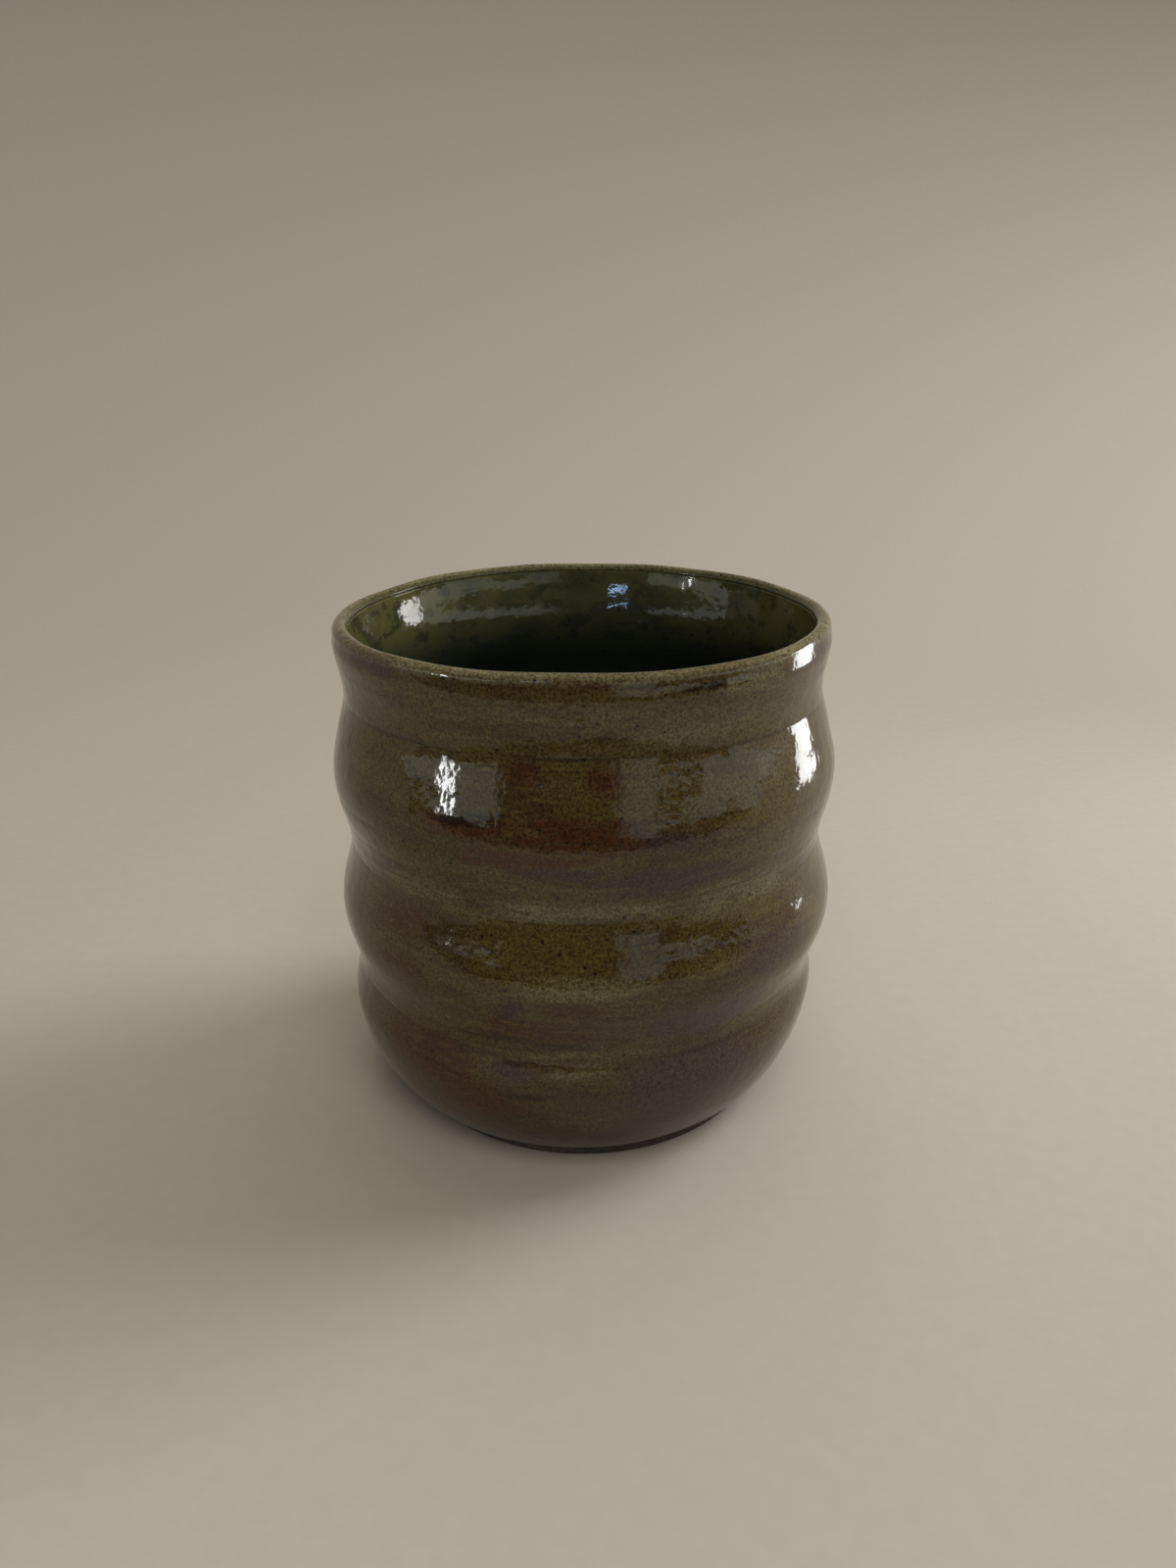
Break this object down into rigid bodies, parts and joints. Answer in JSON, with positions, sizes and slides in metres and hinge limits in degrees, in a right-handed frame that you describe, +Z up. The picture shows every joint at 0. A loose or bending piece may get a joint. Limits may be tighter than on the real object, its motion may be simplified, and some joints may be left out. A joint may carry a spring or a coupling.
{
  "type": "handleless mug",
  "caption": "Handleless stoneware mug with soft throwing rings, a flared lip, a dark mottled glaze outside, a darker liner glaze inside and a bare foot ring.",
  "frame": {"origin": "middle of the foot ring, on the surface the mug stands on", "axes": "+Z up along the axis of the mug, -Y towards the side that the picture shows, +X to the right in it"},
  "size_m": [0.086, 0.086, 0.0853],
  "materials": {
    "bare_stoneware": "matt fired clay",
    "outer_glaze": "glossy mottled brown glaze",
    "inner_glaze": "glossy dark olive glaze"
  },
  "bodies": {
    "root": {"clay_body": "bare_stoneware", "outer_glaze": "outer_glaze", "inner_glaze": "inner_glaze"}
  },
  "joints": []
}
